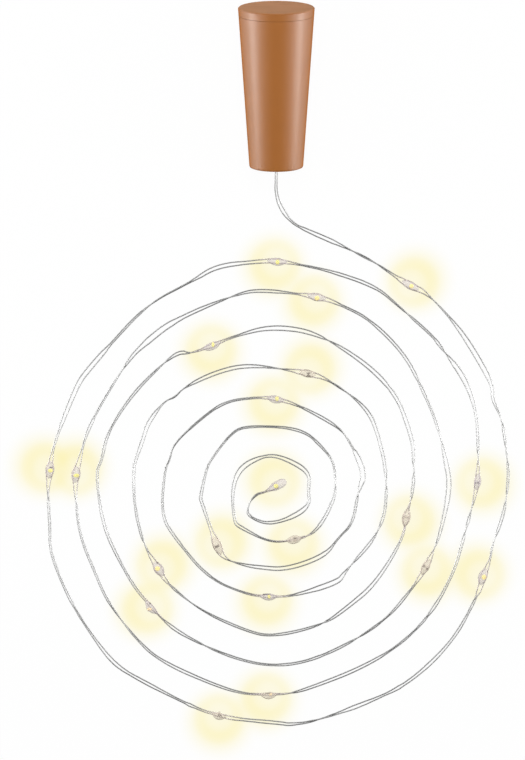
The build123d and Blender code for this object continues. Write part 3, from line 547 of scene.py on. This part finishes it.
def cork_plastic():
    """Satin moulded plastic in a cork brown, faintly mottled and finely grained, coated on its side, and
    matte and streaked on its end face."""
    material, nodes, links, shader = new_material("cork_plastic")
    shader.inputs["Specular IOR Level"].default_value = 0
    shader.inputs["Coat Roughness"].default_value = COAT_ROUGHNESS
    shader.inputs["Coat IOR"].default_value = COAT_IOR
    normal = nodes.new("ShaderNodeNewGeometry").outputs["Normal"]
    along = vector_maths(nodes, links, "DOT_PRODUCT", normal, axis).outputs["Value"]
    at_end = ranged(nodes, links, along, END_FACING, (0, 1))
    links.new(ranged(nodes, links, along, END_FACING, CORK_ROUGHNESS), shader.inputs["Roughness"])
    limb = nodes.new("ShaderNodeLayerWeight")
    limb.inputs["Blend"].default_value = 0.5
    fade = ranged(nodes, links, limb.outputs["Facing"], LIMB_FADE, (1, LIMB_COAT))
    side_coat = ranged(nodes, links, along, END_FACING, (1, 0))
    links.new(maths(nodes, links, "MULTIPLY", side_coat, fade), shader.inputs["Coat Weight"])
    mottled = varied(nodes, links, noise_field(nodes, links, MOTTLE_NOISE, detail=4), CORK_BROWN, spread=0.05)
    streaks = noise_field(nodes, links, STREAK_NOISE, detail=2, stretch=STREAK_STRETCH)
    streaked = varied(nodes, links, streaks, END_BROWN, spread=0.16)
    links.new(mixed(nodes, links, at_end, mottled, streaked), shader.inputs["Base Color"])
    grain = noise_field(nodes, links, GRAIN_NOISE, detail=2)
    add_bump(nodes, links, shader, grain, strength=0.12, depth=GRAIN_DEPTH)
    return material


def wire_metal():
    """Silver-coloured lacquered wire, its tone changing along its length and from one wire to the other, with
    a painted sheen that pales the runs along Y and a painted glow near the lights.
    """
    material, nodes, links, shader = new_material("silver_wire")
    shader.inputs["Roughness"].default_value = 0.5
    shader.inputs["Metallic"].default_value = 0.85
    clouds = noise_field(nodes, links, WIRE_NOISE, detail=1)
    clouded = varied(nodes, links, clouds, WIRE_SILVER, spread=0.4)
    # Painted sheen: runs along Y paler, as the side lamps would light them, and one wire a little paler than
    # the other in its own tone
    run = mixed(nodes, links, attribute(nodes, "painted_sheen_and_tone"), *(grey(level) for level in WIRE_TONES_AND_SHEEN))
    silver = mixed(nodes, links, 1, clouded, run, blend="MULTIPLY")
    # Painted glow of a nearby light on the wire
    lit = mixed(nodes, links, attribute(nodes, "painted_led_glow"), silver, (*WIRE_PAINTED_GLOW, 1))
    links.new(lit, shader.inputs["Base Color"])
    waves = noise_field(nodes, links, WAVE_NOISE, detail=1)
    add_bump(nodes, links, shader, waves, strength=0.03, depth=WAVE_DEPTH)
    return material


def resin(name, colour, rim):
    """Cast resin, cloudy and faintly tinted, thicker to the eye at its rim, where its darker colour is
    painted shade of its refraction, with small waves in its skin.
    """
    material, nodes, links, shader = new_material(name)
    shader.inputs["Roughness"].default_value = 0.3
    shader.inputs["Specular IOR Level"].default_value = 0.25
    shader.inputs["IOR"].default_value = RESIN_IOR
    weight = nodes.new("ShaderNodeLayerWeight")
    weight.inputs["Blend"].default_value = RESIN_RIM
    facing = weight.outputs["Facing"]
    body = varied(nodes, links, noise_field(nodes, links, CLOUD_NOISE, detail=2), colour, spread=0.06)
    # Painted refraction shade: the colour darkens towards the rim
    links.new(mixed(nodes, links, facing, body, (*rim, 1)), shader.inputs["Base Color"])
    links.new(ranged(nodes, links, facing, (0, 1), RESIN_ALPHA), shader.inputs["Alpha"])
    skin = noise_field(nodes, links, SKIN_NOISE, detail=1)
    add_bump(nodes, links, shader, skin, strength=0.1, depth=SKIN_DEPTH)
    return material


def phosphor(name, colour):
    """The glowing yellow dome of a chip, a little uneven."""
    material, nodes, links, shader = new_material(name)
    shader.inputs["Roughness"].default_value = 0.5
    field = noise_field(nodes, links, PHOSPHOR_NOISE, detail=2)
    links.new(varied(nodes, links, field, colour, spread=0.08), shader.inputs["Base Color"])
    shader.inputs["Emission Color"].default_value = (*colour, 1)
    shader.inputs["Emission Strength"].default_value = PHOSPHOR_GLOW
    return material


def dress_node(name, material):
    """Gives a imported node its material."""
    for slot in frame["nodes"][name].material_slots:
        slot.material = material


# Meshes


def mesh_object(name, bm, materials):
    """An object from a bmesh, with its materials."""
    bmesh.ops.recalc_face_normals(bm, faces=bm.faces)
    mesh = bpy.data.meshes.new(name)
    bm.to_mesh(mesh)
    bm.free()
    for material in materials:
        mesh.materials.append(material)
    thing = bpy.data.objects.new(name, mesh)
    bpy.context.scene.collection.objects.link(thing)
    return thing


def add_rings(bm, rings, material=0):
    """Joins closed rings of points into a smooth skin with capped ends."""
    loops = [[bm.verts.new(point) for point in ring] for ring in rings]
    faces = [bm.faces.new(loops[0]), bm.faces.new(loops[-1])]
    for low, high in zip(loops, loops[1:]):
        for n in range(len(low)):
            faces.append(bm.faces.new((low[n - 1], low[n], high[n], high[n - 1])))
    for face in faces:
        face.material_index = material
        face.smooth = True
    return loops


# The line that the pair follows


def pushed_out(points):
    """Moves each control point off its neighbours, so that the spline passes through the point read at it."""
    moved = [points[0]]
    for before, here, after in zip(points, points[1:], points[2:]):
        moved.append(here + (here - (before + after) / 2) * PUSH_SHARE)
    return moved + [points[-1]]


def spline_points(points):
    """Points along a smooth NURBS line with these control points."""
    curve = bpy.data.curves.new("pair_line", "CURVE")
    curve.dimensions = "3D"
    spline = curve.splines.new("NURBS")
    spline.points.add(len(points) - 1)
    for slot, point in zip(spline.points, points):
        slot.co = (*point, 1)
    spline.order_u = 3
    spline.use_endpoint_u = True
    spline.resolution_u = LINE_RESOLUTION
    holder = bpy.data.objects.new("pair_line", curve)
    mesh = bpy.data.meshes.new_from_object(holder)
    found = [vertex.co.copy() for vertex in mesh.vertices]
    bpy.data.objects.remove(holder)
    bpy.data.meshes.remove(mesh)
    return found


def even_points(points, step):
    """Points at an even step along a line of points."""
    found, carried = [points[0].copy()], 0.0
    for start, end in zip(points, points[1:]):
        run = (end - start).length
        place = step - carried
        while place <= run:
            found.append(start.lerp(end, place / run))
            place += step
        carried = run - (place - step)
    found.append(points[-1].copy())
    return found


def headings(points):
    """The direction of a line at each of its points."""
    found = []
    for n in range(len(points)):
        before, after = points[max(n - 1, 0)], points[min(n + 1, len(points) - 1)]
        found.append((after - before).normalized())
    return found


def cross_ways(way):
    """The level direction across a line that runs this way, and the rising one square to both."""
    across = UP.cross(way).normalized()
    return across, way.cross(across)


def nearest(points, place):
    """The index of the point of a line nearest to a place."""
    return min(range(len(points)), key=lambda n: (points[n] - place).length_squared)


lead = [on_surface(x, y, height * MM) for x, y, height in LEAD_PX]
coil = [on_surface(x, y) for turn in TURNS_PX for x, y in turn]
route = [outlet, outlet - axis * LEAD_STRAIGHT, *lead, *coil]
line = even_points(spline_points(pushed_out(route)), STEP)
ways = headings(line)
reached = [n * STEP for n in range(len(line))]
light_at = [nearest(line, on_surface(*light[0])) for light in LIGHTS]


def from_light(far):
    """How far a place along the line is from the nearest light."""
    return min(abs(far - reached[n]) for n in light_at)


def read_gaps():
    """The distance between the wires at each point of the line, with the other sign after each crossing."""
    entries = [(nearest(line, on_surface(x, y)), gap) for turn in GAPS_PX for x, y, gap in turn]
    places, gaps, side = [], [], 1
    for index, gap in sorted(entries):
        if gap == 0:
            side = -side
        places.append(reached[index])
        gaps.append(side * gap * PIXEL)
    found = []
    for far in reached:
        after = min(max(bisect_right(places, far), 1), len(places) - 1)
        run = max(places[after] - places[after - 1], STEP)
        share = smooth((far - places[after - 1]) / run)
        found.append(gaps[after - 1] + (gaps[after] - gaps[after - 1]) * share)
    return found


def strand(side, gaps):
    """The line of one wire of the pair, beside the other, and resting on it where they lie that near."""
    points = []
    for place, way, gap in zip(line, ways, gaps):
        across, over = cross_ways(way)
        lift = max((2 * WIRE_R) ** 2 - gap**2, 0) ** 0.5
        points.append(place + (across * gap + over * lift) * (side / 2))
    return points


def add_tube(bm, points, lit, sheen_and_tone_of, share):
    """A round wire along a line of points, each marked with its nearness to a light, for a painted glow, and
    with its tone and painted sheen.
    """
    rings = []
    tube_ways = headings(points)
    for place, way in zip(points, tube_ways):
        across, over = cross_ways(way)
        ring = []
        for n in range(WIRE_SIDES):
            angle = 2 * pi * n / WIRE_SIDES
            ring.append(place + (across * cos(angle) + over * sin(angle)) * WIRE_R)
        rings.append(ring)
    for far, way, loop in zip(reached, tube_ways, add_rings(bm, rings)):
        for vert in loop:
            # Painted glow, strongest at a light and gone at GLOW_RUN
            vert[lit] = smooth(1 - from_light(far) / GLOW_RUN)
            # Painted sheen, paler the more a run follows Y, with a small share of own tone that sets one wire
            # paler than the other
            vert[sheen_and_tone_of] = PAIR_TONE * share + (1 - PAIR_TONE) * way.y**PAINTED_SHEEN_POWER


def make_wires(material):
    """Both wires as one piece, which stands for the four packed wire nodes."""
    gaps = read_gaps()
    bm = bmesh.new()
    lit = bm.verts.layers.float.new("painted_led_glow")
    sheen_and_tone_of = bm.verts.layers.float.new("painted_sheen_and_tone")
    for side, share in ((-1, 0), (1, 1)):
        add_tube(bm, strand(side, gaps), lit, sheen_and_tone_of, share)
    wires = mesh_object("wire_pair", bm, [material])
    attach(wires, "stopper")
    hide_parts("positive_lead", "negative_lead", "positive_coil", "negative_coil")
    return wires


# The light drops


def drop_profile(share, last):
    """A drop's swell along it, for a share from -1 to 1."""
    power, fullness = END_POWERS if last and share > 0 else DROP_POWERS
    return max((1 - abs(share) ** power) ** fullness, DROP_TIP)


def add_resin(bm, half_l, outer, inner, last):
    """The resin skin, a spindle along the wires that may hang over one side of them, flatter underneath."""
    rings = []
    for n in range(DROP_STATIONS):
        share = -cos(pi * n / (DROP_STATIONS - 1))
        swell = drop_profile(share, last)
        ring = []
        for m in range(DROP_SIDES):
            angle = 2 * pi * m / DROP_SIDES
            y = cos(angle) * (outer if cos(angle) > 0 else inner) * swell
            height = DROP_ABOVE * swell if sin(angle) > 0 else DROP_BELOW * min(1, swell * UNDER_SWELL)
            ring.append(Vector((share * half_l, y, WIRE_LEVEL + sin(angle) * height)))
        rings.append(ring)
    add_rings(bm, rings, RESIN_SLOT)


def add_block(bm, size, place, turn, material, bevel=0):
    """A thin block at a place, turned on the surface's normal, with rounded edges if they have a width."""
    made = bmesh.ops.create_cube(bm, size=1)["verts"]
    bmesh.ops.scale(bm, vec=size, verts=made)
    bmesh.ops.rotate(bm, matrix=Matrix.Rotation(turn, 3, "Z"), verts=made)
    bmesh.ops.translate(bm, vec=place, verts=made)
    faces = {face for vert in made for face in vert.link_faces}
    if bevel:
        edges = list({edge for vert in made for edge in vert.link_edges})
        rounded = bmesh.ops.bevel(bm, geom=edges, offset=bevel, segments=2, affect="EDGES", profile=0.5)
        faces = {face for face in faces if face.is_valid} | set(rounded["faces"])
    for face in faces:
        face.material_index = material


def add_dome(bm, place, half_x, half_y):
    """The phosphor dome of a chip."""
    rings = []
    for n in range(DOME_RINGS):
        angle = pi / 2 * n / DOME_RINGS
        ring = []
        for m in range(DOME_SIDES):
            around = 2 * pi * m / DOME_SIDES
            flat = Vector((half_x * cos(around), half_y * sin(around), 0)) * cos(angle)
            ring.append(place + flat + UP * (DOME_H * sin(angle)))
        rings.append(ring)
    add_rings(bm, rings, DOME_SLOT)


def make_drops(skins, chip_body, glows, contact):
    """One piece for each light: its resin, chip, phosphor and contacts."""
    made = []
    level = WIRE_LEVEL + CHIP_LIFT
    for number, (index, light) in enumerate(zip(light_at, LIGHTS), start=1):
        (x, y), half_l, outer, inner, tint, spot, contacts = light
        bm = bmesh.new()
        add_resin(bm, half_l * PIXEL, outer * PIXEL, inner * PIXEL, number == len(LIGHTS))
        turn = atan2(ways[index].y, ways[index].x)
        bm.transform(Matrix.Translation((line[index].x, line[index].y, 0)) @ Matrix.Rotation(turn, 4, "Z"))
        glow, off_x, off_y, spot_w, spot_h = spot or (None, 0, 0, 0, 0)
        middle = on_surface(x + off_x, y + off_y, level)
        add_block(bm, (CHIP_L, CHIP_W, CHIP_T), middle, turn, CHIP_SLOT, CHIP_BEVEL)
        if glow:
            add_dome(bm, middle + UP * (CHIP_T * DOME_FOOT), spot_w * PIXEL / 2, spot_h * PIXEL / 2)
        for off_x, off_y, long, wide, turned in contacts:
            place = on_surface(x + off_x, y + off_y, level + CONTACT_LIFT)
            add_block(bm, (long * PIXEL, wide * PIXEL, CONTACT_T), place, -radians(turned), CONTACT_SLOT)
        shine = glows[glow] if glow else chip_body
        drop = mesh_object(f"light_drop_{number:02d}", bm, [skins[tint], chip_body, shine, contact])
        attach(drop, "stopper")
        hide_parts(f"led_drop_{number:02d}")
        made.append(drop)
    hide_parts("led_chips")
    return made


# The surface, the light and the camera


def halo_amount(nodes, links, where, centre, bearing):
    """The amount of painted yellow glow that one light lays on the surface, more to the side of its bearing.
    """
    gap = vector_maths(nodes, links, "SUBTRACT", where, (centre.x, centre.y, 0)).outputs["Vector"]
    away = vector_maths(nodes, links, "LENGTH", gap).outputs["Value"]
    to_side = (cos(bearing) / HALO_R, sin(bearing) / HALO_R, 0)
    aside = vector_maths(nodes, links, "DOT_PRODUCT", gap, to_side).outputs["Value"]
    share = maths(nodes, links, "MULTIPLY", away, 1 / HALO_R)
    leaned = maths(nodes, links, "MULTIPLY_ADD", aside, -HALO_SHIFT, share, clamp=True)
    profile = nodes.new("ShaderNodeFloatCurve")
    curve = profile.mapping.curves[0]
    curve.points[0].location = HALO_SHARES[0]
    curve.points[1].location = HALO_SHARES[-1]
    for place in HALO_SHARES[1:-1]:
        curve.points.new(*place)
    profile.mapping.update()
    links.new(leaned, profile.inputs["Value"])
    strength = maths(nodes, links, "MULTIPLY_ADD", aside, HALO_SIDE, 1)
    return maths(nodes, links, "MULTIPLY", profile.outputs["Value"], strength)


def halo_total(nodes, links):
    """The painted yellow glow of all the lights at once, as the root of the sum of their squares."""
    where = nodes.new("ShaderNodeNewGeometry").outputs["Position"]
    total = 0
    for index, bearing in zip(light_at, HALO_BEARINGS):
        amount = halo_amount(nodes, links, where, line[index], radians(bearing))
        total = maths(nodes, links, "MULTIPLY_ADD", amount, amount, total)
    return maths(nodes, links, "SQRT", total)


def make_floor():
    """A pale surface, white to the camera but for the shadows and a painted yellow glow round each light."""
    material, nodes, links, shader = new_material("surface")
    shader.inputs["Base Color"].default_value = grey(FLOOR_GREY)
    shader.inputs["Roughness"].default_value = FLOOR_ROUGHNESS
    # Painted pool of the lights' yellow glow on the surface
    tint = mixed(nodes, links, halo_total(nodes, links), WHITE, (*PAINTED_GLOW_YELLOW, 1))
    white = nodes.new("ShaderNodeEmission")
    links.new(tint, white.inputs["Color"])
    path = nodes.new("ShaderNodeLightPath")
    seen = path.outputs["Is Camera Ray"]
    for ray in ("Is Transmission Ray", "Is Glossy Ray"):
        seen = maths(nodes, links, "MAXIMUM", seen, path.outputs[ray])
    both = nodes.new("ShaderNodeMixShader")
    links.new(maths(nodes, links, "MULTIPLY", seen, FLOOR_WHITE), both.inputs["Fac"])
    links.new(shader.outputs["BSDF"], both.inputs[1])
    links.new(white.outputs["Emission"], both.inputs[2])
    links.new(both.outputs["Shader"], nodes["Material Output"].inputs["Surface"])
    bm = bmesh.new()
    corners = [(x * FLOOR_HALF, y * FLOOR_HALF, 0) for x, y in ((-1, -1), (1, -1), (1, 1), (-1, 1))]
    bm.faces.new([bm.verts.new(corner) for corner in corners])
    mesh_object("surface", bm, [material])


def make_world():
    """White to the camera, and a dark grey round the object that is darker still overhead."""
    world = bpy.data.worlds.new("studio")
    bpy.context.scene.world = world
    world.use_nodes = True
    nodes, links = world.node_tree.nodes, world.node_tree.links
    place = nodes.new("ShaderNodeTexCoord")
    parts = nodes.new("ShaderNodeSeparateXYZ")
    links.new(place.outputs["Generated"], parts.inputs["Vector"])
    high = ranged(nodes, links, parts.outputs["Z"], WALL_HIGH, (0, 1), soft=True)
    room = mixed(nodes, links, high, grey(WALL_GREY), grey(OVERHEAD_GREY))
    seen = nodes.new("ShaderNodeLightPath").outputs["Is Camera Ray"]
    links.new(mixed(nodes, links, seen, room, WHITE), nodes["Background"].inputs["Color"])


def add_lamp(name, place, target, width, height, radiance):
    """A rectangular softbox at a place, turned to a target, that looks equally bright at any size."""
    data = bpy.data.lights.new(name, "AREA")
    data.shape = "RECTANGLE"
    data.size = width
    data.size_y = height
    data.energy = pi * width * height * radiance
    lamp = bpy.data.objects.new(name, data)
    bpy.context.scene.collection.objects.link(lamp)
    lamp.location = place
    lamp.rotation_euler = (target - place).to_track_quat("-Z", "Y").to_euler()


def make_lamps():
    """A bright low and a dimmer high softbox at each side, which draw the soft highlights down the stopper,
    and a soft fill."""
    for low, high, radiance in BOXES:
        middle = Vector((0, 0, (low + high) / 2))
        for side in (-1, 1):
            place = middle + Vector((side * BOX_AWAY, 0, 0))
            add_lamp(f"softbox_{side}_{low}", place, middle, BOX_LONG, high - low, radiance)
    add_lamp("fill", Vector((0, FILL_AWAY, FILL_HIGH)), Vector(), FILL_SIZE, FILL_SIZE, FILL_RADIANCE)


def make_camera():
    """The photograph's camera, nearly straight above, leaning towards the stopper's wide end."""
    data = bpy.data.cameras.new("camera")
    data.lens = LENS_MM
    data.sensor_width = SENSOR_MM
    data.clip_end = CAMERA_CLIP * camera_away
    camera = bpy.data.objects.new("camera", data)
    bpy.context.scene.collection.objects.link(camera)
    camera.location = eye
    camera.rotation_euler = (-CAMERA_LEAN, 0, 0)
    bpy.context.scene.camera = camera


cork = cork_plastic()
off_white = plain_material("inner_plastic", (0.68, 0.66, 0.61), 0.5)
rubber = plain_material("rubber", (0.34, 0.32, 0.29), 0.65, grain=400)
board_green = plain_material("board", (0.01, 0.07, 0.025), 0.35, spread=0.2)
sheet_metal = plain_material("contact_metal", (0.62, 0.58, 0.47), 0.3, 1.0, stretch=(1, 12, 1))
steel = plain_material("steel", (0.5, 0.5, 0.51), 0.28, 1.0, stretch=(12, 1, 1))
cell_can = plain_material("cell_case", (0.6, 0.6, 0.61), 0.22, 1.0, stretch=(1, 10, 1))
tin = plain_material("solder", (0.55, 0.55, 0.57), 0.3, 1.0)
glaze = plain_material("resistor_body", (0.01, 0.01, 0.011), 0.25)
silver = wire_metal()
chip_white = plain_material("chip_body", (0.8, 0.74, 0.62), 0.45)
contact_brown = plain_material("contact", CONTACT_BROWN, 0.4)
for material, names in (
    (cork, ("cork_shell", "switch_head")),
    (off_white, ("plug", "battery_carrier")),
    (rubber, ("seal_ring", "wire_seal")),
    (board_green, ("contact_board",)),
    (sheet_metal, (
        "negative_leaf", "positive_leaf", "positive_plate", "positive_strap", "negative_pad", "wiper",
    )),
    (steel, ("carrier_screws", "head_pin", "negative_spring")),
    (cell_can, ("button_cell_1", "button_cell_2", "button_cell_3")),
    (tin, ("solder_joints",)),
    (glaze, ("resistor",)),
    (silver, ("inner_wires",)),
):
    for name in names:
        dress_node(name, material)

wires = make_wires(silver)
drops = make_drops(
    {tint: resin(f"{tint}_resin", *colours) for tint, colours in RESIN.items()}, chip_white,
    {shine: phosphor(f"phosphor_{shine}", colour) for shine, colour in PHOSPHOR.items()}, contact_brown,
)
make_floor()
make_world()
make_lamps()
make_camera()
bpy.context.scene.view_settings.view_transform = "Standard"
